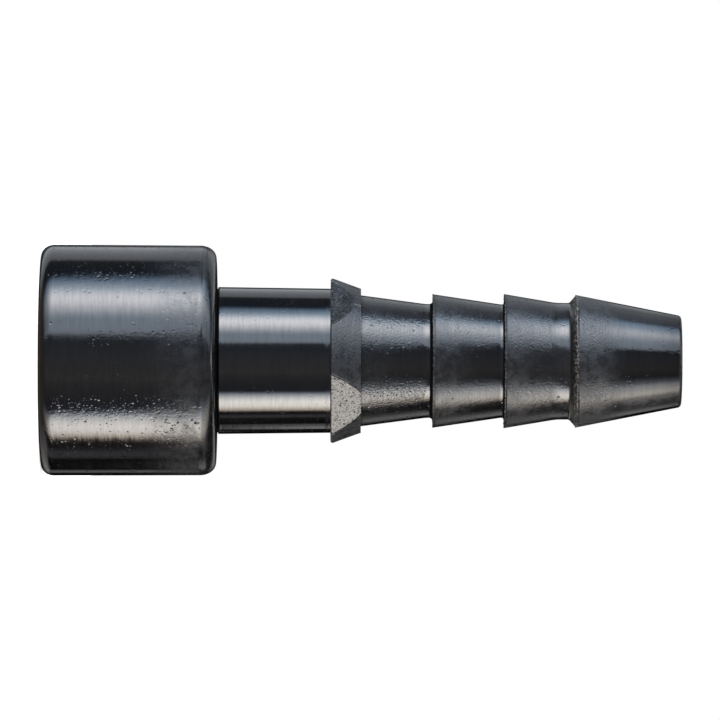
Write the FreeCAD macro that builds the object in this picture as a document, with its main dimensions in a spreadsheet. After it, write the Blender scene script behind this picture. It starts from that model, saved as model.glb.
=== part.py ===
import FreeCAD, Part
import os
import Sketcher

# A pneumatic contact turned from one bar of black plastic, in millimetres.
# It stands on the front face of its head, with its axis along +Z and the hose tail on top.
# From the bottom: a round head with the socket for its mate, a plain neck, a snap collar with
# four flats that clicks behind the wall of a carrier, and a hose tail with three barbs and a nose.

NODE = "contact_body"

# Driving dimensions. Each name is an alias in the sheet, and each length lies along Z.
SIZES = {
    # Head: it narrows by a hair towards the neck.
    "head_front_diameter": 9.00,
    "head_back_diameter": 8.95,
    "head_length": 6.80,
    "head_front_round": 0.35,
    "head_back_round": 0.48,
    # Neck: the wall of the carrier lies round it, between the head and the collar.
    "neck_diameter": 5.72,
    "neck_end_diameter": 5.61,
    "neck_length": 4.45,
    "relief_width": 0.08,
    "relief_depth": 0.06,
    # Collar: a cone whose large end stops the contact in its carrier.
    "collar_diameter": 6.47,
    "collar_end_diameter": 5.61,
    "collar_length": 1.18,
    "collar_round": 0.08,
    # Flats: one pair lies square to the axis, the other is deeper and leans in towards the tail.
    "shallow_flat_depth": 0.33,
    "deep_flat_depth": 0.405,
    "deep_flat_lean": 0.09,
    # Hose tail: each barb is a cone that thins towards the tip, with a short land before its shoulder.
    "barb_pitch": 2.79,
    "first_crest_diameter": 5.10,
    "first_root_diameter": 4.43,
    "first_land_length": 0.22,
    "second_crest_diameter": 5.20,
    "second_root_diameter": 4.42,
    "second_land_length": 0.12,
    "third_crest_diameter": 5.22,
    "third_root_diameter": 4.54,
    "third_land_length": 0.42,
    # Nose: the last cone leads the hose on, and the shoulder behind it slopes.
    "nose_crest_diameter": 5.16,
    "nose_shoulder_length": 0.27,
    "nose_shoulder_round": 0.20,
    "nose_length": 4.09,
    "tip_diameter": 3.55,
    "tip_round": 0.15,
    # Inside: the socket ends in a drill cone, and the air bore runs on through the tip.
    "socket_diameter": 5.60,
    "socket_floor": 1.40,
    "lead_in_diameter": 6.40,
    "lead_in_length": 0.70,
    "drill_cone_length": 0.80,
    "air_bore_diameter": 2.60,
    "tip_edge_break": 0.10,
}

EDGE_TOLERANCE = 0.001


class Size:
    """A length that keeps its number beside the formula that gives it in the sheet."""

    def __init__(self, number, formula):
        self.number = number
        self.formula = formula

    def __add__(self, other):
        return Size(self.number + other.number, f"{self.formula} + {other.formula}")

    def __sub__(self, other):
        return Size(self.number - other.number, f"{self.formula} - ({other.formula})")

    def half(self):
        return Size(self.number / 2, f"({self.formula}) / 2")


ZERO = Size(0, "0")


def size(name):
    """The driving dimension of that name."""
    return Size(SIZES[name], f"sizes.{name}")


def radius(name):
    """Half the driving diameter of that name."""
    return size(name).half()


def make_sheet(document):
    """Writes every driving dimension to the sheet, with its name beside it."""
    sheet = document.addObject("Spreadsheet::Sheet", "sizes")
    for row, (name, number) in enumerate(SIZES.items(), start=1):
        sheet.set(f"A{row}", name)
        sheet.set(f"B{row}", str(number))
        sheet.setAlias(f"B{row}", name)
    return sheet


def origin_plane(body, role):
    """One of the body's own three planes."""
    return next(item for item in body.Origin.OriginFeatures if item.Role == role)


def pin_corner(sketch, line, direction, axis, distance, label):
    """Holds the start of a line at a distance from the sketch's origin."""
    if distance is ZERO:
        sketch.addConstraint(Sketcher.Constraint("PointOnObject", line, 1, axis))
        return
    number = sketch.addConstraint(Sketcher.Constraint(direction, -1, 1, line, 1, distance.number))
    sketch.renameConstraint(number, label)
    sketch.setExpression(f"Constraints.{label}", distance.formula)


def outline_sketch(body, name, plane, corners):
    """A closed outline on a plane of the body, through corners given as distance out and height."""
    sketch = body.newObject("Sketcher::SketchObject", name)
    sketch.AttachmentSupport = [(origin_plane(body, plane), "")]
    sketch.MapMode = "FlatFace"
    points = [FreeCAD.Vector(out.number, height.number, 0) for out, height in corners]
    for start, end in zip(points, points[1:] + points[:1]):
        sketch.addGeometry(Part.LineSegment(start, end))
    for line in range(len(corners)):
        following = (line + 1) % len(corners)
        sketch.addConstraint(Sketcher.Constraint("Coincident", line, 2, following, 1))
    for line, (out, height) in enumerate(corners):
        pin_corner(sketch, line, "DistanceX", -2, out, f"out_{line}")
        pin_corner(sketch, line, "DistanceY", -1, height, f"height_{line}")
    return sketch


def turn_sketch(body, kind, name, sketch):
    """Turns a sketch all the way round the body's axis, to add or to cut."""
    feature = body.newObject(kind, name)
    feature.Profile = sketch
    feature.ReferenceAxis = (sketch, ["V_Axis"])
    feature.Angle = 360
    return feature


def circles_at(shape, out, height):
    """The names of the round edges that lie at that distance from the axis and that height."""
    names = []
    for number, edge in enumerate(shape.Edges, start=1):
        if not isinstance(edge.Curve, Part.Circle):
            continue
        off = abs(edge.Curve.Radius - out.number) + abs(edge.Curve.Center.z - height.number)
        if off < EDGE_TOLERANCE:
            names.append(f"Edge{number}")
    return names


def round_edge(document, body, name, out, height, rounding):
    """Rounds the turned edge at that distance from the axis and that height, by the named dimension."""
    document.recompute()
    base = body.Tip
    fillet = body.newObject("PartDesign::Fillet", name)
    fillet.Base = (base, circles_at(base.Shape, out, height))
    fillet.Radius = size(rounding).number
    fillet.setExpression("Radius", size(rounding).formula)
    return fillet


def heights():
    """The heights of the shoulders along the axis, each from the one before it."""
    at = {"neck": size("head_length")}
    at["collar"] = at["neck"] + size("neck_length")
    at["tail"] = at["collar"] + size("collar_length")
    at["second_crest"] = at["tail"] + size("barb_pitch")
    at["third_crest"] = at["second_crest"] + size("barb_pitch")
    at["nose_crest"] = at["third_crest"] + size("barb_pitch")
    at["nose_foot"] = at["nose_crest"] - size("nose_shoulder_length")
    at["tip"] = at["nose_crest"] + size("nose_length")
    return at


def barb_corners(at):
    """The three barbs in half section, each from its crest to the foot of the next shoulder."""
    corners = []
    spans = {
        "first": ("tail", "second_crest"),
        "second": ("second_crest", "third_crest"),
        "third": ("third_crest", "nose_foot"),
    }
    for barb, (start, end) in spans.items():
        root = radius(f"{barb}_root_diameter")
        corners.append((radius(f"{barb}_crest_diameter"), at[start]))
        corners.append((root, at[end] - size(f"{barb}_land_length")))
        corners.append((root, at[end]))
    return corners


def outer_corners(at):
    """The outside of the contact in half section, from the middle of the head's face to the tip."""
    relief = radius("neck_diameter") - size("relief_depth")
    relief_end = at["neck"] + size("relief_width")
    return [
        (ZERO, ZERO),
        (radius("head_front_diameter"), ZERO),
        (radius("head_back_diameter"), at["neck"]),
        (relief, at["neck"]),
        (relief, relief_end),
        (radius("neck_diameter"), relief_end),
        (radius("neck_end_diameter"), at["collar"]),
        (radius("collar_diameter"), at["collar"]),
        (radius("collar_end_diameter"), at["tail"]),
        *barb_corners(at),
        (radius("nose_crest_diameter"), at["nose_crest"]),
        (radius("tip_diameter"), at["tip"]),
        (ZERO, at["tip"]),
    ]


def inner_corners(at):
    """The socket and the air bore in half section, from the head's face to the tip."""
    socket_end = at["neck"] - size("socket_floor")
    bore = radius("air_bore_diameter")
    return [
        (ZERO, ZERO),
        (radius("lead_in_diameter"), ZERO),
        (radius("socket_diameter"), size("lead_in_length")),
        (radius("socket_diameter"), socket_end),
        (bore, socket_end + size("drill_cone_length")),
        (bore, at["tip"] - size("tip_edge_break")),
        (bore + size("tip_edge_break"), at["tip"]),
        (ZERO, at["tip"]),
    ]


def cut_flats(document, body, name, plane, near, far, at):
    """Planes off two opposite sides of the collar, from one distance to the other along its length."""
    clear = size("collar_diameter")
    corners = [(near, at["collar"]), (clear, at["collar"]), (clear, at["tail"]), (far, at["tail"])]
    sketch = outline_sketch(body, f"{name}Outline", plane, corners)
    pocket = body.newObject("PartDesign::Pocket", name)
    pocket.Profile = sketch
    pocket.SideType = "Symmetric"
    pocket.Length = 2 * clear.number
    pocket.setExpression("Length", f"2 * {clear.formula}")
    document.recompute()
    pair = body.newObject("PartDesign::PolarPattern", f"{name}Pair")
    pair.Originals = [pocket]
    pair.Axis = (sketch, ["V_Axis"])
    pair.Angle = 360
    pair.Occurrences = 2
    body.Tip = pair
    document.recompute()


def make_contact(document):
    """The whole contact: turned outside, rounded edges, milled flats, then bored through."""
    at = heights()
    body = document.addObject("PartDesign::Body", NODE)
    body.Label = NODE

    outside = outline_sketch(body, "OutsideOutline", "XZ_Plane", outer_corners(at))
    turn_sketch(body, "PartDesign::Revolution", "Outside", outside)

    head_front = radius("head_front_diameter")
    head_back = radius("head_back_diameter")
    collar = radius("collar_diameter")
    nose_foot = radius("third_root_diameter")
    round_edge(document, body, "HeadFrontRound", head_front, ZERO, "head_front_round")
    round_edge(document, body, "HeadBackRound", head_back, at["neck"], "head_back_round")
    round_edge(document, body, "CollarRound", collar, at["collar"], "collar_round")
    round_edge(document, body, "NoseShoulderRound", nose_foot, at["nose_foot"], "nose_shoulder_round")
    round_edge(document, body, "TipRound", radius("tip_diameter"), at["tip"], "tip_round")

    shallow = collar - size("shallow_flat_depth")
    deep = collar - size("deep_flat_depth")
    cut_flats(document, body, "ShallowFlats", "XZ_Plane", shallow, shallow, at)
    cut_flats(document, body, "DeepFlats", "YZ_Plane", deep, deep - size("deep_flat_lean"), at)

    inside = outline_sketch(body, "InsideOutline", "XZ_Plane", inner_corners(at))
    turn_sketch(body, "PartDesign::Groove", "Inside", inside)
    body.Placement = FreeCAD.Placement()
    return body


def check(document, body):
    """Stops the script where a feature has failed or the contact is not one sound solid."""
    for item in document.Objects:
        if "Invalid" in item.State or "Error" in item.State:
            raise RuntimeError(f"{item.Name} has failed")
    shape = body.Shape
    if shape.isNull() or not shape.isValid() or len(shape.Solids) != 1:
        raise RuntimeError(f"{body.Label} is not one sound solid")


def main():
    document = FreeCAD.newDocument("PneumaticContact")
    make_sheet(document)
    body = make_contact(document)
    document.recompute()
    check(document, body)
    os.makedirs("parts", exist_ok=True)
    body.Shape.exportStep(f"parts/{body.Label}.step")
    box = body.Shape.BoundBox
    print(f"{body.Label}: {body.Shape.Volume:.2f} mm3, {box.XLength:.2f} x {box.YLength:.2f} x {box.ZLength:.2f} mm")


main()
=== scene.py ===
import math

import bpy
import numpy as np
from mathutils import Matrix, Vector


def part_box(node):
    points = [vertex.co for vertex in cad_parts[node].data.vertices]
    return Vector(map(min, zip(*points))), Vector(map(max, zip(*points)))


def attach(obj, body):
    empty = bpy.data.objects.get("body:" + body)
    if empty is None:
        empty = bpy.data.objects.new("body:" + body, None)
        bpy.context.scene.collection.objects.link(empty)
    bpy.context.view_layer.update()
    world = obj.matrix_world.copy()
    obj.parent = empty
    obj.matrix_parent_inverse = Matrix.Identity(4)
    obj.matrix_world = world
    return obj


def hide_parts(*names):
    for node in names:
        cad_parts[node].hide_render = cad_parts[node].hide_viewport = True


# A pneumatic contact turned from one bar of black plastic. It stands on the front face of its
# head, with its axis along +Z and its hose tail on top. All sizes here are in millimetres, as on
# the solid, and all angles are in degrees.
MM = 0.001
NODE = "contact_body"

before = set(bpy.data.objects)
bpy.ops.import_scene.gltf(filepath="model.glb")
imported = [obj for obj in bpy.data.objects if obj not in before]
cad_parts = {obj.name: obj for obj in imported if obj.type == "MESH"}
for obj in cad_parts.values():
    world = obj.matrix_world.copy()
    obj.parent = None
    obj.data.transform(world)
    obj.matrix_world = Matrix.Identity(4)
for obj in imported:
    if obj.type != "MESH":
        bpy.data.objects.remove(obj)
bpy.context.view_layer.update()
NODE_LOW, NODE_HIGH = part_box(NODE)

# Head
HEAD_RADIUS = min(NODE_HIGH.x, NODE_HIGH.y, -NODE_LOW.x, -NODE_LOW.y) / MM
HEAD_TAPER = 0.025
HEAD_LENGTH = 6.80
HEAD_FRONT_ROUND = 0.42
HEAD_FRONT_REACH = 0.50
HEAD_BACK_ROUND = 0.48
HEAD_BACK_REACH = 0.62

# Neck
NECK_RADIUS = 2.86
NECK_END_RADIUS = 2.805
NECK_LENGTH = 4.45
RELIEF_WIDTH = 0.08
RELIEF_DEPTH = 0.06
RELIEF_EDGE_ROUND = 0.015
RELIEF_FOOT_ROUND = 0.010
RELIEF_LIP = 0.004

# Collar: the shallow flats lie square to the axis. The deep ones lean in towards the tail, and
# are milled a little off the square.
COLLAR_RADIUS = 3.235
COLLAR_END_RADIUS = 2.805
COLLAR_LENGTH = 1.18
COLLAR_ROUND = 0.08
FLAT_ROUND = 0.06
SHALLOW_FLAT = COLLAR_RADIUS - 0.33
DEEP_FLAT = COLLAR_RADIUS - 0.38
DEEP_FLAT_LEAN = 0.095
DEEP_FLAT_TURN = -1.9

# Hose tail: the bend and the foot round the two corners before the next shoulder.
BARB_PITCH = 2.79
BARBS = (
    {
        "crest": 2.55, "root": 2.215, "land": 0.26, "bend": 0.10, "foot": 0.14,
        "haze": (0.16, 0.02), "peel": 0.65, "burr": 0.0,
    },
    {
        "crest": 2.60, "root": 2.21, "land": 0.15, "bend": 0.05, "foot": 0.09,
        "haze": (0.45, 0.02), "peel": 0.45, "burr": 0.5,
    },
    {
        "crest": 2.61, "root": 2.27, "land": 0.50, "bend": 0.22, "foot": None,
        "haze": (0.58, 0.15), "peel": 0.8, "burr": 1.0,
    },
)
NOSE_CREST_RADIUS = 2.58
NOSE_SHOULDER = 0.27
NOSE_SHOULDER_ROUND = 0.14
TIP_RADIUS = 1.775
TIP_ROUND = 0.15

# Inside
SOCKET_RADIUS = 2.80
SOCKET_FLOOR = 1.40
LEAD_IN_RADIUS = 3.20
LEAD_IN_LENGTH = 0.70
DRILL_CONE = 0.80
AIR_BORE_RADIUS = 1.30
TIP_EDGE_BREAK = 0.10

# Heights
NECK_AT = HEAD_LENGTH
COLLAR_AT = NECK_AT + NECK_LENGTH
TAIL_AT = COLLAR_AT + COLLAR_LENGTH
NOSE_AT = TAIL_AT + len(BARBS) * BARB_PITCH
TIP_AT = NODE_HIGH.z / MM

# Mesh: the quarter turn between two flats is shared out between the two halves of the flats and
# the round stretch between them. A flat cuts nothing that lies further round than its reach.
QUARTER = 96
HALF_FLAT = 20
AROUND = 4 * QUARTER
EVEN_TURN = np.linspace(0.0, 360.0, AROUND, endpoint=False)
LEAST_FLAT_ANGLE = 1.5
FLAT_REACH = 60
CONE_RINGS = 32
BARB_SHARES = (0.015, 0.04, 0.08, 0.16, 0.25, 0.35, 0.45, 0.55, 0.65, 0.75, 0.84)
NOSE_RINGS = 16

# Finish, each from 0 to 1: the haze is a soft sheen, the peel a pebbled skin, the scuff pale torn
# plastic, and the painted shade lays matt black over the shine where shade is painted in.
FINISHES = ("haze", "peel", "scuff", "dull")
HEAD_SIDE_HAZE = 0.38
HEAD_BACK_HAZE = 0.22
# The faces' painted shade lays matt black over part of the shine, on the head's back face and the
# collar's tail face.
FACE_FINISH = {"haze": 0.3, "dull": 0.65}
COLLAR_FINISH = {"haze": 0.8, "peel": 0.9}
COLLAR_FACE_HAZE = 0.4
TAIL_FACE_FINISH = {"haze": 0.5, "dull": 0.65}
SHALLOW_FLAT_HAZE = 0.24
DEEP_FLAT_HAZE = 0.16
FLAT_EDGE_SCUFF = 0.8
CREST_HAZE = 0.6
# Painted shade: matt black laid over the shine on the crests, just under them and on the shoulders.
CREST_SHADE = 0.5
BELOW_CREST_SHADE = 0.35
BEND_PEEL = 0.3
SHOULDER_SHADE = 0.9
NOSE_HAZE = 0.85
# The tip's round edge and face carry painted shade too, as matt black over part of the shine.
TIP_ROUND_FINISH = {"haze": 0.35, "scuff": 0.2, "dull": 0.45}
TIP_FACE_FINISH = {"haze": 0.4, "dull": 0.65}
BORE_HAZE = 0.4
DRILL_CONE_HAZE = 0.3
SOCKET_HAZE = 0.2

# Burrs and chips on the torn crests: the share of points with a burr, how far out and how far
# down it stands, and how far in and down the chips reach.
BURR_SEED = 7
BURR_SHARE = 0.20
BURR_OUT = 0.022
BURR_DOWN = 0.016
CHIP_IN = 0.006
CHIP_DOWN = 0.012


class Ring:
    """One ring of the surface, with as many points as every other ring.

    Out and turn say how far from the axis and in which direction each point lies, and up how high.
    A planed ring belongs to the collar's outside, and burr is how badly a crest is torn.
    """

    def __init__(self, out, up, sharp=False, planed=False, burr=0.0, turn=None, **finish):
        self.out = np.full(AROUND, out) if np.isscalar(out) else out
        self.up = up
        self.sharp = sharp
        self.planed = planed
        self.burr = burr
        self.turn = EVEN_TURN if turn is None else turn
        self.finish = [finish.get(name, 0.0) for name in FINISHES]


def blend(start, end, share):
    """The value at that share of the way between two values."""
    return start + (end - start) * share


def ease(value, low, high):
    """Rises smoothly from 0 at low to 1 at high."""
    share = min(1.0, max(0.0, (value - low) / (high - low)))
    return share * share * (3 - 2 * share)


def blend_point(start, end, share):
    """The point at that share of the way between two points."""
    return tuple(blend(a, b, share) for a, b in zip(start, end))


def line(start, end, shares, **finish):
    """Rings at the given shares of a straight run in the half section."""
    return [Ring(*blend_point(start, end, share), **finish) for share in shares]


def arc(centre, radius, start, end, steps, reach=None, **finish):
    """Rings along an arc of the half section. 0 points straight out and 90 towards the tip.

    With a reach, the arc is drawn out along the axis to that length.
    """
    rings = []
    for step in range(steps + 1):
        angle = math.radians(blend(start, end, step / steps))
        out = centre[0] + radius * math.cos(angle)
        up = centre[1] + (reach or radius) * math.sin(angle)
        rings.append(Ring(out, up, **finish))
    return rings


def bend(start, corner, end, reach, steps, **finish):
    """Rings round a slight corner of the half section, eased over that reach on both sides."""
    before = blend_point(corner, start, reach / math.dist(corner, start))
    after = blend_point(corner, end, reach / math.dist(corner, end))
    rings = []
    for step in range(steps + 1):
        share = step / steps
        point = blend_point(
            blend_point(before, corner, share), blend_point(corner, after, share), share)
        rings.append(Ring(*point, **finish))
    return rings


def spread(count):
    """Even shares from 0 to 1, both left out."""
    return [(number + 1) / (count + 1) for number in range(count)]


def head_rings():
    """The front face, its round edge, the side of the head and its round back edge."""
    back = HEAD_RADIUS - HEAD_TAPER
    front_centre = (HEAD_RADIUS - HEAD_FRONT_ROUND, HEAD_FRONT_REACH)
    back_centre = (back - HEAD_BACK_ROUND, NECK_AT - HEAD_BACK_REACH)
    rings = [Ring(LEAD_IN_RADIUS, 0, sharp=True)]
    rings += line((LEAD_IN_RADIUS, 0), (front_centre[0], 0), (0.05, 0.5, 0.95))
    rings += arc(front_centre, HEAD_FRONT_ROUND, -90, 0, steps=14, reach=HEAD_FRONT_REACH)
    side_start = (HEAD_RADIUS, front_centre[1])
    side_end = (back, back_centre[1])
    rings += line(side_start, side_end, (0.01, 0.2, 0.4, 0.6))
    for share in (0.68, 0.76, 0.84, 0.92, 0.99):
        haze = HEAD_SIDE_HAZE * ease(share, 0.60, 0.95)
        rings += line(side_start, side_end, (share,), haze=haze)
    round_finish = {"reach": HEAD_BACK_REACH, "haze": HEAD_BACK_HAZE}
    rings += arc(back_centre, HEAD_BACK_ROUND, 0, 90, steps=16, **round_finish)
    face_start = (back_centre[0], NECK_AT)
    # The back face is painted with shade: matt black over part of its shine.
    rings += line(face_start, (NECK_RADIUS, NECK_AT), (0.05, 0.5, 0.9), **FACE_FINISH)
    return rings


def neck_rings():
    """The narrow relief groove against the head, and the neck."""
    bottom = NECK_RADIUS - RELIEF_DEPTH
    end = NECK_AT + RELIEF_WIDTH
    # The groove is painted with shade: matt black over the shine, all of it on its floor.
    rings = [
        Ring(NECK_RADIUS + RELIEF_LIP, NECK_AT, haze=FACE_FINISH["haze"]),
        Ring(bottom + RELIEF_FOOT_ROUND, NECK_AT + RELIEF_LIP, dull=1.0),
        Ring(bottom, NECK_AT + RELIEF_EDGE_ROUND, dull=1.0),
        Ring(bottom, end - RELIEF_EDGE_ROUND, dull=1.0),
        Ring(bottom + RELIEF_EDGE_ROUND, end, dull=0.6),
        Ring(NECK_RADIUS - RELIEF_EDGE_ROUND, end),
        Ring(NECK_RADIUS, end + RELIEF_EDGE_ROUND),
    ]
    top = (NECK_END_RADIUS, COLLAR_AT)
    rings += line((NECK_RADIUS, end), top, (0.02, 0.25, 0.5, 0.75, 0.98))
    rings.append(Ring(NECK_END_RADIUS, COLLAR_AT, sharp=True))
    return rings


def flat_distances(up):
    """How far from the axis the shallow and the deep flats lie at that height."""
    share = (up - COLLAR_AT) / COLLAR_LENGTH
    gap = max(0.0, FLAT_ROUND - (up - COLLAR_AT))
    worn = FLAT_ROUND - math.sqrt(FLAT_ROUND ** 2 - gap ** 2)
    deep = DEEP_FLAT - DEEP_FLAT_LEAN * share
    return SHALLOW_FLAT - worn, max(deep - worn, min(deep, NECK_END_RADIUS))


def flat_at(number, out, up):
    """Where a flat faces, how far out it lies and half the angle it takes off a ring."""
    distance = flat_distances(up)[number % 2]
    middle = 90 * number + DEEP_FLAT_TURN * (number % 2)
    angle = math.degrees(math.acos(distance / out)) if out > distance else 0.0
    return middle, distance, max(angle, LEAST_FLAT_ANGLE)


def flatted(out, up):
    """The directions and distances of a ring's points, with the four flats planed off it."""
    turns = []
    outs = []
    for number in range(4):
        start, near_distance, near = flat_at(number, out, up)
        end, far_distance, far = flat_at(number + 1, out, up)
        turn = np.concatenate([
            np.linspace(start, start + near, HALF_FLAT, endpoint=False),
            np.linspace(start + near, end - far, QUARTER - 2 * HALF_FLAT, endpoint=False),
            np.linspace(end - far, end, HALF_FLAT, endpoint=False),
        ])
        planed = np.minimum(
            near_distance / np.cos(np.radians(np.minimum(turn - start, FLAT_REACH))),
            far_distance / np.cos(np.radians(np.minimum(end - turn, FLAT_REACH))),
        )
        turns.append(turn)
        outs.append(np.minimum(planed, out))
    return np.concatenate(turns), np.concatenate(outs)


def collar_rings():
    """The collar's face, its round edge and its cone, with the flats planed off."""
    slope = math.degrees(math.atan2(COLLAR_RADIUS - COLLAR_END_RADIUS, COLLAR_LENGTH))
    lean = math.radians(slope)
    inset = COLLAR_ROUND * (1 + math.sin(lean)) / math.cos(lean)
    centre = (COLLAR_RADIUS - inset, COLLAR_AT + COLLAR_ROUND)
    edge = arc(centre, COLLAR_ROUND, -90, slope, steps=8)
    cone_start = (edge[-1].out[0], edge[-1].up)
    cone_end = Ring(COLLAR_END_RADIUS, TAIL_AT)
    cone = line(cone_start, (COLLAR_END_RADIUS, TAIL_AT), spread(CONE_RINGS))
    outer = []
    for ring in [*edge, *cone, cone_end]:
        turn, out = flatted(ring.out[0], ring.up)
        outer.append(Ring(out, ring.up, planed=True, turn=turn, **COLLAR_FINISH))
    first, last = outer[0], outer[-1]
    first.sharp = True
    last.sharp = True
    face = []
    for share in (0.1, 0.5, 0.9):
        out = blend(NECK_END_RADIUS, first.out, share)
        turn = blend(EVEN_TURN, first.turn, share)
        face.append(Ring(out, COLLAR_AT, haze=COLLAR_FACE_HAZE, turn=turn))
    # The tail face is painted with shade: matt black over part of its shine.
    tail_face = []
    for share in (0.3, 0.7):
        out = blend(last.out, BARBS[0]["crest"], share)
        turn = blend(last.turn, EVEN_TURN, share)
        tail_face.append(Ring(out, TAIL_AT, turn=turn, **TAIL_FACE_FINISH))
    return face + outer + tail_face


def barb_rings():
    """The three barbs, each from its crest to the round foot of the next shoulder."""
    rings = []
    for number, barb in enumerate(BARBS):
        crest_at = TAIL_AT + number * BARB_PITCH
        crest = (barb["crest"], crest_at)
        end_at = crest_at + BARB_PITCH
        last = number == len(BARBS) - 1
        if last:
            end_at -= NOSE_SHOULDER
        root = (barb["root"], end_at - barb["land"])
        start_haze, end_haze = barb["haze"]
        torn = barb["burr"]
        # The crest and the rings just under it carry painted shade: matt black over part of the
        # shine.
        crest_finish = {"haze": CREST_HAZE, "scuff": torn, "dull": CREST_SHADE}
        rings.append(Ring(*crest, sharp=True, burr=torn, **crest_finish))
        for share in BARB_SHARES:
            haze = blend(start_haze, end_haze, ease(share, 0.10, 0.70))
            scuff = torn * (1 - ease(share, 0.01, 0.03))
            dull = BELOW_CREST_SHADE * (1 - ease(share, 0.0, 0.06))
            finish = {"haze": haze, "peel": barb["peel"], "scuff": scuff, "dull": dull}
            rings += line(crest, root, (share,), **finish)
        foot = (barb["root"], end_at)
        bend_finish = {"haze": end_haze, "peel": BEND_PEEL * barb["peel"]}
        rings += bend(crest, root, foot, barb["bend"], steps=6, **bend_finish)
        if last:
            rings += nose_shoulder(root[0], end_at)
            continue
        centre = (root[0] + barb["foot"], end_at - barb["foot"])
        rings += arc(centre, barb["foot"], 180, 174, steps=1)
        # Painted shade: the foot round and the next shoulder are laid over with matt black where
        # shade falls.
        rings += arc(centre, barb["foot"], 168, 90, steps=6, dull=1.0)
        next_crest = (BARBS[number + 1]["crest"], end_at)
        rings += line((centre[0], end_at), next_crest, (0.3, 0.7, 0.97), dull=SHOULDER_SHADE)
    return rings


def nose_shoulder(root, foot_at):
    """The sloping shoulder under the nose, with its round foot."""
    rise = NOSE_CREST_RADIUS - root
    slope = math.degrees(math.atan2(NOSE_SHOULDER, rise))
    turned = 90 - slope
    reach = NOSE_SHOULDER_ROUND * math.tan(math.radians(turned / 2))
    centre = (root + NOSE_SHOULDER_ROUND, foot_at - reach)
    haze = BARBS[-1]["haze"][1]
    rings = arc(centre, NOSE_SHOULDER_ROUND, 180, 180 - turned, steps=8, haze=haze)
    start = (rings[-1].out[0], rings[-1].up)
    for share in (0.3, 0.6, 0.8, 0.96):
        finish = {"haze": CREST_HAZE, "peel": 1.0, "scuff": ease(share, 0.2, 0.7)}
        rings += line(start, (NOSE_CREST_RADIUS, NOSE_AT), (share,), **finish)
    return rings


def nose_rings():
    """The nose, from its crest to the edge of the air bore at the tip."""
    crest = (NOSE_CREST_RADIUS, NOSE_AT)
    corner = (TIP_RADIUS, TIP_AT)
    rings = [Ring(*crest, sharp=True, burr=1.0, haze=CREST_HAZE, scuff=1.0)]
    for share in (0.006, 0.014, 0.024):
        finish = {"haze": CREST_HAZE, "peel": 0.6, "scuff": 1 - ease(share, 0.004, 0.024)}
        rings += line(crest, corner, (share,), **finish)
    slope = math.degrees(math.atan2(crest[0] - corner[0], corner[1] - crest[1]))
    reach = TIP_ROUND * math.tan(math.radians((90 - slope) / 2))
    length = math.hypot(crest[0] - corner[0], corner[1] - crest[1])
    last_share = 1 - reach / length
    for number in range(NOSE_RINGS):
        share = last_share * (0.038 + 0.957 * number / (NOSE_RINGS - 1))
        haze = NOSE_HAZE * (1 - ease(share, 0.10, 0.50))
        peel = 0.10 + 0.90 * (1 - ease(share, 0.15, 0.45))
        # Painted shade grows towards the end of the nose, as matt black over the shine.
        dull = 0.30 * ease(share, 0.65, 1.0)
        rings += line(crest, corner, (share,), haze=haze, peel=peel, dull=dull)
    start = blend_point(crest, corner, last_share)
    lean = math.radians(slope)
    centre = (start[0] - TIP_ROUND * math.cos(lean), start[1] - TIP_ROUND * math.sin(lean))
    # The tip's round edge and face are painted with shade as well.
    rings += arc(centre, TIP_ROUND, slope, 90, steps=8, **TIP_ROUND_FINISH)
    mouth = AIR_BORE_RADIUS + TIP_EDGE_BREAK
    rings += line((centre[0], TIP_AT), (mouth, TIP_AT), (0.1, 0.8), **TIP_FACE_FINISH)
    rings.append(Ring(mouth, TIP_AT, sharp=True, haze=BORE_HAZE))
    return rings


def inner_rings():
    """The air bore and the socket, from the tip back to the mouth in the head."""
    socket_end = NECK_AT - SOCKET_FLOOR
    bore_top = (AIR_BORE_RADIUS, TIP_AT - TIP_EDGE_BREAK)
    bore_end = (AIR_BORE_RADIUS, socket_end + DRILL_CONE)
    socket_top = (SOCKET_RADIUS, socket_end)
    socket_mouth = (SOCKET_RADIUS, LEAD_IN_LENGTH)
    rings = [Ring(*bore_top, sharp=True, haze=BORE_HAZE)]
    rings += line(bore_top, bore_end, (0.02, 0.35, 0.65, 0.98), haze=BORE_HAZE)
    rings.append(Ring(*bore_end, sharp=True, haze=BORE_HAZE))
    rings += line(bore_end, socket_top, (0.1, 0.9), haze=DRILL_CONE_HAZE)
    rings.append(Ring(*socket_top, sharp=True, haze=DRILL_CONE_HAZE))
    rings += line(socket_top, socket_mouth, (0.03, 0.5, 0.97), haze=SOCKET_HAZE)
    rings.append(Ring(*socket_mouth, sharp=True, haze=SOCKET_HAZE))
    rings += line(socket_mouth, (LEAD_IN_RADIUS, 0), (0.1, 0.9), haze=SOCKET_HAZE)
    return rings


def add_burrs(rings):
    """Leaves the sharp crests a little torn, with tiny chips and turned-up burrs all round."""
    random = np.random.default_rng(BURR_SEED)
    for ring in rings:
        if ring.burr:
            chosen = random.random(AROUND) > 1 - BURR_SHARE
            tall = np.where(chosen, random.random(AROUND), 0.0)
            tall = np.minimum(1.0, tall + 0.7 * np.roll(tall, 1) + 0.3 * np.roll(tall, 2))
            fine = np.abs(random.normal(0, 1, AROUND))
            ring.out = ring.out + ring.burr * (BURR_OUT * tall - CHIP_IN * fine)
            ring.up = ring.up - ring.burr * (CHIP_DOWN * fine + BURR_DOWN * tall)


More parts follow.
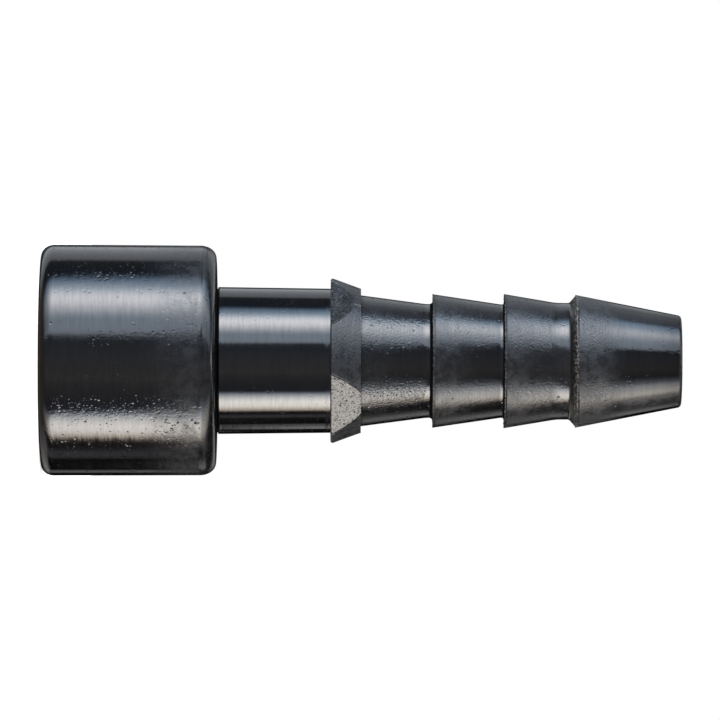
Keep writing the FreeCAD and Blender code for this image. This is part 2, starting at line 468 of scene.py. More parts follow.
def make_contact():
    """Turns the rings into one closed mesh that stands for the solid."""
    outside = head_rings() + neck_rings() + collar_rings() + barb_rings() + nose_rings()
    rings = outside + inner_rings()
    add_burrs(rings)
    count = len(rings)
    points = np.empty((count, AROUND, 3))
    for number, ring in enumerate(rings):
        turn = np.radians(ring.turn)
        points[number, :, 0] = ring.out * np.cos(turn)
        points[number, :, 1] = ring.out * np.sin(turn)
        points[number, :, 2] = ring.up
    ring_of, step = np.meshgrid(np.arange(count), np.arange(AROUND), indexing="ij")
    next_ring = (ring_of + 1) % count
    next_step = (step + 1) % AROUND
    corners = np.stack([
        ring_of * AROUND + step,
        ring_of * AROUND + next_step,
        next_ring * AROUND + next_step,
        next_ring * AROUND + step,
    ], axis=-1).reshape(-1, 4)

    mesh = bpy.data.meshes.new("contact")
    mesh.from_pydata((points.reshape(-1, 3) * MM).tolist(), [], corners.tolist())
    mesh.update()
    mesh.shade_smooth()
    mark_sharp(mesh, rings)
    paint_finish(mesh, rings)
    contact = bpy.data.objects.new("contact", mesh)
    bpy.context.scene.collection.objects.link(contact)
    return contact


def planed_span(rings):
    """The numbers of the first and the last ring of the collar's planed outside."""
    numbers = [number for number, ring in enumerate(rings) if ring.planed]
    return numbers[0], numbers[-1]


def on_flat_edge(step):
    """Whether a point of a ring lies where a flat ends."""
    in_quarter = step % QUARTER
    return (in_quarter == HALF_FLAT) | (in_quarter == QUARTER - HALF_FLAT)


def mark_sharp(mesh, rings):
    """Marks the edges of the sharp rings, and those where the flats leave the collar's cone."""
    first, last = planed_span(rings)
    edges = np.empty(len(mesh.edges) * 2, dtype=np.int64)
    mesh.edges.foreach_get("vertices", edges)
    edges = edges.reshape(-1, 2)
    ring_of = edges // AROUND
    step = edges % AROUND
    sharp_rings = np.array([ring.sharp for ring in rings])
    same_ring = ring_of[:, 0] == ring_of[:, 1]
    sharp = same_ring & sharp_rings[ring_of[:, 0]]
    in_collar = (ring_of.min(axis=1) >= first) & (ring_of.max(axis=1) <= last)
    sharp |= in_collar & on_flat_edge(step[:, 0]) & (step[:, 0] == step[:, 1])
    layer = mesh.attributes.new("sharp_edge", "BOOLEAN", "EDGE")
    layer.data.foreach_set("value", sharp)


def paint_finish(mesh, rings):
    """Stores the finish and painted shade of the surface at each point, and how hazy each face of a
    flat is.
    """
    first, last = planed_span(rings)
    step = np.arange(AROUND)
    finish = np.zeros((len(rings), AROUND, len(FINISHES)))
    for number, ring in enumerate(rings):
        finish[number] = ring.finish
    scuff = FINISHES.index("scuff")
    finish[first:last + 1, :, scuff] += FLAT_EDGE_SCUFF * on_flat_edge(step)
    layer = mesh.attributes.new("finish", "FLOAT_COLOR", "POINT")
    layer.data.foreach_set("color", finish.ravel())
    flat = np.zeros((len(rings), AROUND))
    on_flat = (step % QUARTER < HALF_FLAT) | (step % QUARTER >= QUARTER - HALF_FLAT)
    pair = (step + HALF_FLAT) // QUARTER % 2
    flat[first:last] = on_flat * np.where(pair == 0, SHALLOW_FLAT_HAZE, DEEP_FLAT_HAZE)
    layer = mesh.attributes.new("flat", "FLOAT", "FACE")
    layer.data.foreach_set("value", flat.ravel())


class Graph:
    """Adds nodes to a node tree and joins them by their sockets."""

    def __init__(self, tree):
        self.tree = tree
        tree.nodes.clear()

    def node(self, kind, inputs=(), **settings):
        """A node with its settings, and with values or sockets for its inputs."""
        made = self.tree.nodes.new(kind)
        for name, value in settings.items():
            setattr(made, name, value)
        for name, value in dict(inputs).items():
            if isinstance(value, bpy.types.NodeSocket):
                self.tree.links.new(value, made.inputs[name])
            else:
                made.inputs[name].default_value = value
        return made

    def math(self, operation, *values):
        """One step of arithmetic."""
        return self.node("ShaderNodeMath", dict(enumerate(values)), operation=operation).outputs[0]

    def vector(self, operation, *values, **named):
        """One step of arithmetic on vectors or colours."""
        inputs = {**dict(enumerate(values)), **named}
        return self.node("ShaderNodeVectorMath", inputs, operation=operation).outputs[0]

    def dot(self, vector, direction):
        """How far a vector reaches along a fixed direction."""
        inputs = {0: vector, 1: direction}
        return self.node("ShaderNodeVectorMath", inputs, operation="DOT_PRODUCT").outputs["Value"]

    def span(self, value, low, high, start=0.0, end=1.0, smooth=True):
        """Maps a span of a value onto another, and holds it beyond the ends."""
        inputs = {"Value": value, "From Min": low, "From Max": high, "To Min": start, "To Max": end}
        kind = "SMOOTHSTEP" if smooth else "LINEAR"
        return self.node("ShaderNodeMapRange", inputs, interpolation_type=kind).outputs["Result"]

    def product(self, first, *others):
        """Several numbers multiplied together."""
        if not others:
            return first
        return self.math("MULTIPLY", first, self.product(*others))

    def ramp(self, value, low, high, stops):
        """Colours along a value: stops are pairs of the value and its red, green and blue."""
        share = self.span(value, low, high, smooth=False)
        made = self.node("ShaderNodeValToRGB", {"Fac": share})
        elements = made.color_ramp.elements
        while len(elements) < len(stops):
            elements.new(1.0)
        for element, (place, colour) in zip(elements, stops):
            element.position = (place - low) / (high - low)
            element.color = (*colour, 1)
        return made.outputs["Color"]

    def level(self, value, stops, low=-90, high=90):
        """A number along a value: stops are pairs of the value and the number there."""
        return self.ramp(value, low, high, [(place, (number,) * 3) for place, number in stops])

    def noise(self, place, scale, stretch=(1, 1, 1), detail=2.0, roughness=0.5):
        """Soft noise from 0 to 1, with that many waves a millimetre."""
        spot = self.vector("MULTIPLY", place, stretch)
        inputs = {"Vector": spot, "Scale": scale, "Detail": detail, "Roughness": roughness}
        return self.node("ShaderNodeTexNoise", inputs).outputs["Fac"]

    def spots(self, place, scale, share, width):
        """1 in the middle of some round spots, and 0 between them."""
        cells = self.node("ShaderNodeTexVoronoi", {"Vector": place, "Scale": scale})
        chosen = self.node("ShaderNodeSeparateColor", {"Color": cells.outputs["Color"]}).outputs[0]
        size = self.span(chosen, 1 - share, 1.0, 0.0, width * scale, smooth=False)
        reach = self.math("DIVIDE", cells.outputs["Distance"], self.math("MAXIMUM", size, 0.001))
        return self.span(reach, 0.0, 1.0, 1.0, 0.0)

    def mix(self, share, first, second):
        """A mix of two colours."""
        made = self.node("ShaderNodeMix", {0: share}, data_type="RGBA")
        for name, value in (("A_Color", first), ("B_Color", second)):
            socket = next(item for item in made.inputs if item.identifier == name)
            if isinstance(value, bpy.types.NodeSocket):
                self.tree.links.new(value, socket)
            else:
                socket.default_value = (*value, 1)
        return next(item for item in made.outputs if item.identifier == "Result_Color")


# Photograph: the camera's direction from the object, square to the axis, and the direction that
# is up in the picture. The axis lies across the picture with the head at its left.
AXIS = Vector((0, 0, 1))
VIEW_TURN = -38.5
VIEW_FROM = Vector((math.sin(math.radians(VIEW_TURN)), -math.cos(math.radians(VIEW_TURN)), 0))
PICTURE_UP = VIEW_FROM.cross(AXIS)
PICTURE_PIXELS = 720
PIXEL = 0.03893
CAMERA_DISTANCE = 320.8
CAMERA_HEIGHT = 12.395
CAMERA_RISE = 0.87 * PIXEL
CAMERA_ROLL = 0.13
SENSOR = 36.0


def make_camera():
    """A long lens that looks square at the axis, with the head at the left of the picture."""
    data = bpy.data.cameras.new("camera")
    data.sensor_width = SENSOR
    data.lens = SENSOR * CAMERA_DISTANCE / (PICTURE_PIXELS * PIXEL)
    data.clip_start = 0.01
    data.clip_end = 10.0
    camera = bpy.data.objects.new("camera", data)
    bpy.context.scene.collection.objects.link(camera)
    bpy.context.scene.camera = camera
    roll = math.radians(CAMERA_ROLL)
    right = AXIS * math.cos(roll) + PICTURE_UP * math.sin(roll)
    up = PICTURE_UP * math.cos(roll) - AXIS * math.sin(roll)
    place = (AXIS * CAMERA_HEIGHT + up * CAMERA_RISE + VIEW_FROM * CAMERA_DISTANCE) * MM
    axes = Matrix((right, up, VIEW_FROM)).transposed().to_4x4()
    camera.matrix_world = Matrix.Translation(place) @ axes


# Light: two long soft boxes stand beside the photographer, one above and one below the part in the
# picture. Each has a bright core and a dimmer shelf, and some light spills past it. Each stop is an
# angle round the axis, from the photograph's viewing direction towards the picture's top, and the
# brightness there as a share of PEAK. The reach is how they fade along the axis, by the angle out
# of the plane square to it, towards the tail.
PEAK = 14.0
BLACK = (0.0, 0.0, 0.0)
UPPER_SHELF = (
    (24, BLACK),
    (26, (0.130, 0.150, 0.170)),
    (28, (0.220, 0.250, 0.290)),
    (31, (0.232, 0.271, 0.325)),
    (40, (0.236, 0.279, 0.336)),
    (72, (0.236, 0.285, 0.345)),
    (82, (0.228, 0.290, 0.370)),
    (87, (0.150, 0.215, 0.290)),
    (91, (0.080, 0.110, 0.160)),
    (95, (0.010, 0.020, 0.030)),
    (97, BLACK),
)
UPPER_CORE = (
    (42, BLACK),
    (46, (0.090, 0.090, 0.090)),
    (52, (0.330, 0.310, 0.300)),
    (59, (0.620, 0.590, 0.580)),
    (63, (0.710, 0.680, 0.670)),
    (67, (0.690, 0.650, 0.640)),
    (71, (0.520, 0.510, 0.520)),
    (75, (0.270, 0.290, 0.310)),
    (80, (0.050, 0.060, 0.070)),
    (84, BLACK),
)
LOWER_BOX = (
    (-89, BLACK),
    (-87, (0.250, 0.200, 0.160)),
    (-84, (0.480, 0.430, 0.360)),
    (-80, (0.760, 0.700, 0.630)),
    (-76, (0.950, 0.900, 0.830)),
    (-70, (1.050, 1.000, 0.930)),
    (-66, (0.960, 0.930, 0.890)),
    (-61, (0.700, 0.700, 0.700)),
    (-56, (0.370, 0.400, 0.440)),
    (-51, (0.060, 0.070, 0.090)),
    (-49, BLACK),
)
LOWER_SHELF = (
    (-66, BLACK),
    (-56, (0.150, 0.150, 0.150)),
    (-48, (0.130, 0.135, 0.145)),
    (-43, (0.050, 0.055, 0.060)),
    (-37, BLACK),
)
LOWER_SPILL = (
    (-122, BLACK),
    (-112, (0.014, 0.014, 0.016)),
    (-98, (0.035, 0.035, 0.037)),
    (-91, (0.110, 0.108, 0.106)),
    (-86, (0.140, 0.137, 0.132)),
    (-78, (0.125, 0.122, 0.117)),
    (-68, BLACK),
)
# Dim lines low behind: two that the head mirrors, two for the neck, one for the round edge of the
# head's front and one for the tail.
HEAD_LINE = (
    (-118, BLACK),
    (-113, (0.025, 0.024, 0.026)),
    (-106, (0.029, 0.029, 0.031)),
    (-99, BLACK),
)
HEAD_LOW_LINE = (
    (-155, BLACK),
    (-151, (0.023, 0.023, 0.023)),
    (-146, (0.023, 0.023, 0.023)),
    (-142, BLACK),
)
NECK_LINE = (
    (-104, BLACK),
    (-101, (0.026, 0.026, 0.028)),
    (-97, (0.026, 0.026, 0.028)),
    (-94, BLACK),
)
NECK_STRIP = (
    (-142, BLACK),
    (-139, (0.064, 0.064, 0.064)),
    (-133, (0.074, 0.074, 0.074)),
    (-129, (0.052, 0.052, 0.053)),
    (-123, (0.038, 0.038, 0.040)),
    (-119, BLACK),
)
FRONT_STRIP = (
    (-165, BLACK),
    (-150, (0.055, 0.053, 0.050)),
    (-100, (0.055, 0.053, 0.051)),
    (-86, BLACK),
)
TAIL_STRIP = (
    (-146, BLACK),
    (-142, (0.048, 0.048, 0.048)),
    (-136, (0.052, 0.052, 0.052)),
    (-128, (0.045, 0.045, 0.0455)),
    (-122, (0.020, 0.020, 0.021)),
    (-112, BLACK),
)
# A soft glow in front that only the collar's cone mirrors.
COLLAR_GLOW = (
    (-34, BLACK),
    (-14, (0.056, 0.057, 0.061)),
    (25, (0.059, 0.063, 0.069)),
    (45, (0.026, 0.029, 0.032)),
    (60, BLACK),
)
# Light that spills above the upper box, for the barbs, the nose and the head's back edge.
UPPER_SPILL = (
    (80, BLACK),
    (90, (0.040, 0.046, 0.056)),
    (102, (0.050, 0.057, 0.068)),
    (116, (0.046, 0.050, 0.056)),
    (126, BLACK),
)
NARROW_REACH = (
    (-75, 0.03), (-40, 0.10), (-32, 0.16), (-24, 0.28), (-16, 0.45), (-8, 0.70), (-4, 0.95),
    (-2, 1.00), (-0.5, 1.02), (0.3, 1.16), (3, 1.20), (7, 0.98), (10, 0.90), (15, 0.52), (22, 0.39),
    (28, 0.36), (34, 0.30), (40, 0.25), (49, 0.22), (57, 0.14), (66, 0.03),
)
WIDE_REACH = (
    (-75, 0.20), (-66, 0.25), (-40, 0.47), (-24, 0.63), (-16, 0.75), (-8, 0.88),
    (-2, 1.00), (12, 1.12), (24, 1.02), (33, 0.68), (42, 0.50), (60, 0.50), (75, 0.12),
)
# The rest goes by the turn towards the tail of a mirror that would show that light to the camera,
# twice over: about 0 for the head and the neck, 15 to 20 for the barbs and 24 for the nose.
BARB_TURN = ((3, 0.0), (12, 1.0), (20.5, 1.0), (23.5, 0.65), (60, 0.0))
NOSE_TURN = ((20.5, 0.0), (23, 1.0), (30, 1.0), (60, 0.0))
UPPER_TURN = (
    (1.6, 0.0), (2.6, 0.6), (11, 0.6), (13.5, 0.0), (14.5, 0.0), (17, 0.35), (19.5, 1.0), (30, 1.0),
    (60, 0.0),
)
COLLAR_TURN = ((37, 0.0), (39, 1.0), (41.5, 1.0), (43.5, 0.0))
HEAD_TURN = ((-60, 0.0), (-20, 1.0), (-1.2, 1.0), (-0.5, 0.0))
HEAD_LOW_TURN = ((-60, 0.0), (-20, 1.0), (-3, 1.0), (-2.4, 0.0))
NECK_TURN = ((-0.9, 0.0), (-0.4, 1.0), (3, 1.0), (6, 0.0))
FRONT_TURN = ((-88, 0.7), (-72, 1.0), (-46, 0.9), (-28, 0.0))
STRIP_TURN = ((3, 0.0), (7, 1.0), (33, 1.0), (37, 0.0))
# Each light has its stops, the angle that they go by, how it fades and the angle for that.
BOXES = (
    (UPPER_SHELF, "shelf", WIDE_REACH, "along"),
    (UPPER_CORE, "around", NARROW_REACH, "along"),
    (UPPER_SPILL, "around", UPPER_TURN, "turned"),
    (COLLAR_GLOW, "around", COLLAR_TURN, "turned"),
    (LOWER_BOX, "lower", NARROW_REACH, "along"),
    (LOWER_SHELF, "around", BARB_TURN, "turned"),
    (LOWER_SPILL, "around", NOSE_TURN, "turned"),
    (HEAD_LINE, "around", HEAD_TURN, "turned"),
    (HEAD_LOW_LINE, "around", HEAD_LOW_TURN, "turned"),
    (NECK_LINE, "around", NECK_TURN, "turned"),
    (NECK_STRIP, "around", NECK_TURN, "turned"),
    (FRONT_STRIP, "around", FRONT_TURN, "turned"),
    (TAIL_STRIP, "around", STRIP_TURN, "turned"),
)
ROOM_TURN = ((5, 1.0), (15, 0.80), (24, 0.74), (35, 0.70), (39, 0.35), (42, 0.35), (46, 0.70))
# How many times narrower the upper shelf looks above and below its middle, and the lower box on
# both sides of its own, by the same turn.
SHELF_MIDDLE = 59.0
SHELF_ABOVE = (
    (-2.5, 1.09), (-1.95, 1.05), (-1.6, 0.97), (-1.3, 0.91), (-0.5, 1.0), (1.0, 1.09), (9.0, 1.09),
    (13.5, 1.38), (15.6, 1.36), (16.6, 1.22), (18.0, 1.20), (22.0, 1.0),
)
SHELF_BELOW = (
    (-1.3, 1.0), (-0.95, 0.90), (-0.7, 0.85), (-0.3, 1.0), (1.0, 1.09), (9.0, 1.09), (13.0, 1.24),
    (15.6, 1.24), (16.6, 1.52), (20.5, 1.64), (22.8, 1.0),
)
LOWER_MIDDLE = -68.0
LOWER_SIDES = (
    (-2.5, 1.22), (-1.7, 1.20), (-1.35, 1.10), (-1.2, 0.98), (-0.95, 0.90), (-0.7, 0.90), (-0.3, 1.0),
    (0.3, 1.04), (5, 1.0), (13, 0.90), (15.5, 0.90), (16.5, 1.0),
)
# The room round the boxes, by the same angle: dim in front, with the pale backdrop above.
ROOM = (
    (-180, BLACK),
    (-145, (0.004, 0.004, 0.004)),
    (-110, (0.02, 0.02, 0.02)),
    (-100, (0.10, 0.09, 0.11)),
    (-88, (0.10, 0.08, 0.09)),
    (-46, (0.24, 0.26, 0.33)),
    (-33, (0.34, 0.34, 0.38)),
    (-25, (0.42, 0.41, 0.43)),
    (-19, (0.58, 0.53, 0.54)),
    (-8, (0.48, 0.48, 0.51)),
    (0, (0.46, 0.48, 0.55)),
    (14, (0.36, 0.40, 0.48)),
    (24, (0.28, 0.33, 0.42)),
    (100, (0.10, 0.13, 0.19)),
    (117, (0.11, 0.12, 0.14)),
    (122, (0.85, 0.90, 0.99)),
    (154, (0.93, 0.99, 1.05)),
    (159, (0.10, 0.10, 0.11)),
    (180, BLACK),
)
# The end light hangs beyond the tail's end and runs on behind the part, back towards its head. It
# bends away on both sides, and only round edges that are turned far enough mirror it.
END_BAND = ((-0.98, 0.0), (-0.72, 1.0), (0.04, 1.0), (0.24, 0.0))
END_TURN = ((42, 0.0), (54, 1.0), (90, 1.0))
END_REACH = ((6, 0.0), (18, 0.09), (36, 0.12), (44, 0.24), (50, 0.32), (60, 0.55), (76, 1.0))
END_BEND = 2.6
END_LIGHT = (5.2, 5.1, 5.0)
# What the part mirrors from under the floor's level, and the angles where it starts and is full.
FLOOR_LIGHT = (0.36, 0.31, 0.27)
FLOOR_STARTS = -35
FLOOR_FULL = -60


def light_angles(graph, way):
    """The angles that the light goes by.

    Along and around are those of the stops, and turned is twice the turn of the mirror. Shelf and
    lower are around as well, but squeezed towards the middle of the upper shelf or the lower box.
    """
    along = graph.math("DEGREES", graph.math("ARCSINE", graph.dot(way, AXIS)))
    across = graph.math("ARCTAN2", graph.dot(way, PICTURE_UP), graph.dot(way, VIEW_FROM))
    around = graph.math("DEGREES", across)
    mirror = graph.vector("NORMALIZE", graph.vector("ADD", way, tuple(VIEW_FROM)))
    half = graph.math("DEGREES", graph.math("ARCSINE", graph.dot(mirror, AXIS)))
    turned = graph.math("MULTIPLY", half, 2.0)

    off = graph.math("SUBTRACT", around, SHELF_MIDDLE)
    above = graph.product(graph.math("MAXIMUM", off, 0.0), graph.level(turned, SHELF_ABOVE))
    below = graph.product(graph.math("MINIMUM", off, 0.0), graph.level(turned, SHELF_BELOW))
    shelf = graph.math("ADD", graph.math("ADD", above, below), SHELF_MIDDLE)
    off = graph.math("SUBTRACT", around, LOWER_MIDDLE)
    lower = graph.math("ADD", graph.product(off, graph.level(turned, LOWER_SIDES)), LOWER_MIDDLE)
    return {"along": along, "around": around, "turned": turned, "shelf": shelf, "lower": lower}


def end_light(graph, way, angles):
    """The light beyond the tail's end."""
    front = graph.dot(way, VIEW_FROM)
    side = graph.math("ABSOLUTE", graph.dot(way, PICTURE_UP))
    path = graph.math("ADD", front, graph.math("MULTIPLY", side, END_BEND))
    band = graph.level(path, END_BAND, low=-1, high=1)
    band = graph.vector("MULTIPLY", band, graph.level(angles["turned"], END_TURN))
    band = graph.vector("MULTIPLY", band, graph.level(angles["along"], END_REACH))
    return graph.vector("MULTIPLY", band, END_LIGHT)


def studio_light(graph):
    """The room, the soft boxes, the end light and the floor, by the direction they come from."""
    way = graph.node("ShaderNodeTexCoord").outputs["Generated"]
    angles = light_angles(graph, way)
    room = graph.ramp(angles["around"], -180, 180, ROOM)
    light = graph.vector("MULTIPLY", room, graph.level(angles["turned"], ROOM_TURN))
    for stops, angle, fade, fade_angle in BOXES:
        band = graph.ramp(angles[angle], stops[0][0], stops[-1][0], stops)
        lit = graph.vector("MULTIPLY", band, graph.level(angles[fade_angle], fade))
        light = graph.vector("ADD", light, graph.vector("SCALE", lit, Scale=PEAK))
    light = graph.vector("ADD", light, end_light(graph, way, angles))
    return graph.mix(graph.span(angles["along"], FLOOR_STARTS, FLOOR_FULL), light, FLOOR_LIGHT)


def make_world():
    """White for the camera, and the studio's light for everything else."""
    world = bpy.data.worlds.new("studio")
    bpy.context.scene.world = world
    world.use_nodes = True
    graph = Graph(world.node_tree)
    studio = graph.node("ShaderNodeBackground", {"Color": studio_light(graph), "Strength": 1.0})
    white = graph.node("ShaderNodeBackground", {"Color": (1, 1, 1, 1), "Strength": 1.0})
    seen = graph.node("ShaderNodeLightPath").outputs["Is Camera Ray"]
    shown = graph.node("ShaderNodeMixShader", {0: seen, 1: studio.outputs[0], 2: white.outputs[0]})
    graph.node("ShaderNodeOutputWorld", {"Surface": shown.outputs[0]})


FLOOR_RADIUS = 60.0
FLOOR_SIDES = 96
FLOOR_COLOUR = (0.86, 0.86, 0.86, 1)
FLOOR_FILL = 0.55


def make_floor():
    """A plain pale floor under the head. Its own light fills it up to white for the camera."""
    mesh = bpy.data.meshes.new("floor")
    turns = [2 * math.pi * step / FLOOR_SIDES for step in range(FLOOR_SIDES)]
    reach = FLOOR_RADIUS * MM
    rim = [(reach * math.cos(turn), reach * math.sin(turn), 0) for turn in turns]
    mesh.from_pydata(rim, [], [list(range(FLOOR_SIDES))])
    floor = bpy.data.objects.new("floor", mesh)
    bpy.context.scene.collection.objects.link(floor)
    floor.visible_glossy = False
    material = bpy.data.materials.new("pale_floor")
    material.use_nodes = True
    graph = Graph(material.node_tree)
    matt = graph.node("ShaderNodeBsdfDiffuse", {"Color": FLOOR_COLOUR})
    seen = graph.node("ShaderNodeLightPath").outputs["Is Camera Ray"]
    fill = graph.node("ShaderNodeEmission", {"Strength": graph.math("MULTIPLY", seen, FLOOR_FILL)})
    both = graph.node("ShaderNodeAddShader", {0: matt.outputs[0], 1: fill.outputs[0]})
    graph.node("ShaderNodeOutputMaterial", {"Surface": both.outputs[0]})
    mesh.materials.append(material)


# Worn stretches: the middle as an angle round the axis from the -X side, half the width as an
# angle, where they start and end along the axis, how badly they are pitted and how hazy they are.
WORN = (
    (75.5, 9, 0.3, 6.3, 0.8, 0.0),
    (86.5, 12, 4.2, 6.4, 0.8, 0.1),
    (5.5, 8, 1.0, 3.8, 0.5, 0.0),
    (39.5, 6, 2.2, 6.4, 0.5, 0.0),
    (83.5, 12, 12.4, 15.3, 1.5, 0.0),
    (14.0, 12, 12.5, 14.2, 0.9, 0.0),
    (8.5, 8, 13.8, 15.3, 1.4, 0.0),
    (101.5, 14, 22.4, 25.4, 0.0, 0.5),
)
WORN_CORE = 0.3
WORN_FADE = 0.4

# The neck is smoother than the rest: its marks are this share as coarse, and of each of these
# pairs it has the first. Heights are in thousandths of a millimetre.
NECK_COARSE = 0.3
NECK_FADE = 0.3
STREAK_HEIGHT = (0.12, 0.45)
WAVE_HEIGHT = (1.6, 4.5)
ROUGHNESS = (0.075, 0.10)
RIPPLE_HEIGHT = 7.0
TORN_HEIGHT = 60.0
PEEL_HEIGHT = 14.0
# Round marks: how many cells a millimetre, the share of the cells that hold one, how far from its
# middle the widest reaches, how high it stands, and what it grows with.
MARKS = (
    (11.0, 0.9, 0.045, -9.0, "worn"),
    (10.0, 0.9, 0.050, -11.0, "haze"),
    (5.4, 1.0, 0.070, -13.0, "flat"),
    (11.0, 1.0, 0.045, -6.0, "flat"),
    (6.5, 0.8, 0.075, -12.0, "pitted"),
    (1.9, 0.6, 0.090, -12.0, "coarse"),
    (2.7, 0.5, 0.070, 9.0, "coarse"),
)
COOL_BLACK = (0.0007, 0.0007, 0.0009)
WARM_BLACK = (0.0016, 0.0014, 0.0013)
HAZE_COLOUR = (0.0100, 0.0104, 0.0115)
TORN_COLOUR = (0.085, 0.072, 0.060)
# The matt black that the painted shade lays over the shine.
PAINTED_SHADE_BLACK = (0.004, 0.004, 0.004, 1)
HAZE_ROUGHNESS = 0.14
VEIL_ROUGHNESS = 0.42
PLASTIC_IOR = 1.48
# The turning streaks change the roughness and the strength of the shine this much.
STREAK_SPAN = (0.3, 0.7)
STREAK_ROUGHNESS = (-0.01, 0.02)
STREAK_SHINE = (0.46, 0.54)


def stored_finish(graph):
    """The finish and painted shade that the mesh holds at each point and on each flat."""
    stored = graph.node("ShaderNodeAttribute", attribute_name="finish")
    parts = graph.node("ShaderNodeSeparateColor", {"Color": stored.outputs["Color"]}).outputs
    sockets = (parts[0], parts[1], parts[2], stored.outputs["Alpha"])
    skin = dict(zip(FINISHES, sockets))
    skin["flat_haze"] = graph.node("ShaderNodeAttribute", attribute_name="flat").outputs["Fac"]
    skin["flat"] = graph.math("GREATER_THAN", skin["flat_haze"], 0.0)
    return skin


def add_wear(graph, place, skin):
    """Adds how badly each point is worn, and the haze of the worn stretches."""
    height = graph.dot(place, AXIS)
    across = graph.math("ARCTAN2", graph.dot(place, (0, -1, 0)), graph.dot(place, (-1, 0, 0)))
    turn = graph.math("DEGREES", across)
    skin["worn"] = 0.0
    for middle, half_width, first, last, pits, mist in WORN:
        off = graph.math("ABSOLUTE", graph.math("SUBTRACT", turn, middle))
        there = graph.span(off, WORN_CORE * half_width, half_width, 1.0, 0.0)
        there = graph.product(there, graph.span(height, first, first + WORN_FADE))
        there = graph.product(there, graph.span(height, last - WORN_FADE, last, 1.0, 0.0))
        skin["worn"] = graph.math("MAXIMUM", skin["worn"], graph.product(there, pits))
        skin["haze"] = graph.math("ADD", skin["haze"], graph.product(there, mist))


def add_texture(graph, place, skin):
    """Adds the turning streaks, the clouds and the patches that the marks go by."""
    skin["streak"] = graph.noise(place, 11.0, (0.10, 0.10, 1.0), roughness=0.6)
    skin["cloud"] = graph.noise(place, 1.1, detail=3.0)
    smudge = graph.noise(place, 2.6, detail=3.0, roughness=0.6)
    skin["smudge"] = graph.span(smudge, 0.36, 0.64, 0.45, 1.55)
    skin["lump"] = graph.noise(place, 9.0, roughness=0.6)
    skin["scar"] = graph.product(skin["scuff"], graph.span(skin["lump"], 0.50, 0.58))

    from_middle = graph.math("SUBTRACT", graph.dot(place, AXIS), NECK_AT + NECK_LENGTH / 2)
    off_neck = graph.math("ABSOLUTE", from_middle)
    neck_end = NECK_LENGTH / 2
    skin["coarse"] = graph.span(off_neck, neck_end - NECK_FADE, neck_end, NECK_COARSE, 1.0)
    patch = graph.span(graph.noise(place, 0.7), 0.40, 0.62)
    clump = graph.span(graph.noise(place, 1.5), 0.42, 0.60, 0.25, 1.3)
    pitted = graph.math("ADD", graph.product(patch, 0.6), graph.product(skin["worn"], clump))
    skin["pitted"] = graph.product(pitted, skin["coarse"])


def relief(graph, place, skin):
    """How high the surface stands at each point."""
    def by_neck(heights):
        return graph.span(skin["coarse"], NECK_COARSE, 1.0, *heights)

    wave = graph.noise(place, 2.2, (0.4, 0.4, 1.0), detail=3.0, roughness=0.6)
    parts = [
        graph.product(skin["streak"], by_neck(STREAK_HEIGHT)),
        graph.product(wave, by_neck(WAVE_HEIGHT)),
        graph.product(graph.noise(place, 8.0, (1, 1, 0.7)), skin["worn"], RIPPLE_HEIGHT),
        graph.product(skin["lump"], skin["scuff"], TORN_HEIGHT),
        graph.product(graph.noise(place, 14.0), skin["peel"], PEEL_HEIGHT),
    ]
    for scale, share, width, height, cause in MARKS:
        parts.append(graph.product(graph.spots(place, scale, share, width), skin[cause], height))
    total = parts[0]
    for part in parts[1:]:
        total = graph.math("ADD", total, part)
    return total


def plastic_colour(graph, skin):
    """Nearly black, a little greyer in the haze and pale where it is torn."""
    colour = graph.mix(skin["cloud"], COOL_BLACK, WARM_BLACK)
    colour = graph.mix(graph.product(skin["haze"], skin["smudge"]), colour, HAZE_COLOUR)
    return graph.mix(skin["scar"], colour, TORN_COLOUR)


def plastic_roughness(graph, skin):
    """How rough the sharp shine is, with the turning streaks in it."""
    tooled = graph.span(skin["streak"], *STREAK_SPAN, *STREAK_ROUGHNESS)
    tooled = graph.product(tooled, skin["coarse"])
    rough = graph.math("ADD", graph.span(skin["coarse"], NECK_COARSE, 1.0, *ROUGHNESS), tooled)
    return graph.math("ADD", rough, graph.product(skin["haze"], HAZE_ROUGHNESS))


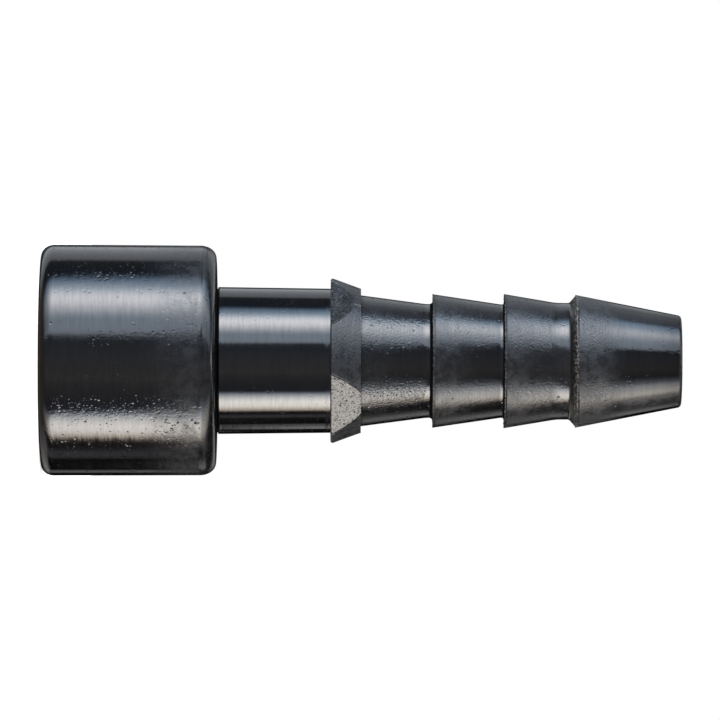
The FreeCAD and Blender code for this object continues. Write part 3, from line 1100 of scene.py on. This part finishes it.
def plastic_veil(graph, skin):
    """The share of the soft shine, which a flat has all over and the rest where it is hazy."""
    veil = graph.span(skin["flat"], 0.0, 1.0, skin["haze"], skin["flat_haze"], smooth=False)
    veil = graph.product(veil, skin["smudge"])
    veil = graph.math("ADD", veil, graph.span(skin["cloud"], 0.40, 0.70, 0.0, 0.02))
    return graph.math("MAXIMUM", veil, skin["scar"])


def make_plastic():
    """Black plastic with turning marks, pits and specks, rougher where the barbs are hazy, and with
    painted shade as matt black over the shine.
    """
    material = bpy.data.materials.new("black_plastic")
    material.use_nodes = True
    graph = Graph(material.node_tree)
    place = graph.vector("SCALE", graph.node("ShaderNodeTexCoord").outputs["Object"], Scale=1 / MM)
    skin = stored_finish(graph)
    add_wear(graph, place, skin)
    add_texture(graph, place, skin)
    bump_inputs = {"Height": relief(graph, place, skin), "Distance": 0.001 * MM, "Strength": 1.0}
    bump = graph.node("ShaderNodeBump", bump_inputs)
    colour = plastic_colour(graph, skin)
    level = graph.span(skin["streak"], *STREAK_SPAN, *STREAK_SHINE)

    def shine(roughness):
        inputs = {
            "Base Color": colour,
            "Roughness": roughness,
            "IOR": PLASTIC_IOR,
            "Specular IOR Level": level,
            "Normal": bump.outputs[0],
        }
        return graph.node("ShaderNodeBsdfPrincipled", inputs).outputs[0]

    sharp = shine(plastic_roughness(graph, skin))
    veil = plastic_veil(graph, skin)
    both = graph.node("ShaderNodeMixShader", {0: veil, 1: sharp, 2: shine(VEIL_ROUGHNESS)})
    # Painted shade: the stored painted shade mixes the shine with matt black.
    shade_black = graph.node("ShaderNodeBsdfDiffuse", {"Color": PAINTED_SHADE_BLACK})
    shaders = {0: skin["dull"], 1: both.outputs[0], 2: shade_black.outputs[0]}
    whole = graph.node("ShaderNodeMixShader", shaders)
    graph.node("ShaderNodeOutputMaterial", {"Surface": whole.outputs[0]})
    return material


bpy.context.scene.view_settings.view_transform = "Standard"
contact = make_contact()
contact.data.materials.append(make_plastic())
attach(contact, "root")
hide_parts(NODE)
make_camera()
make_world()
make_floor()
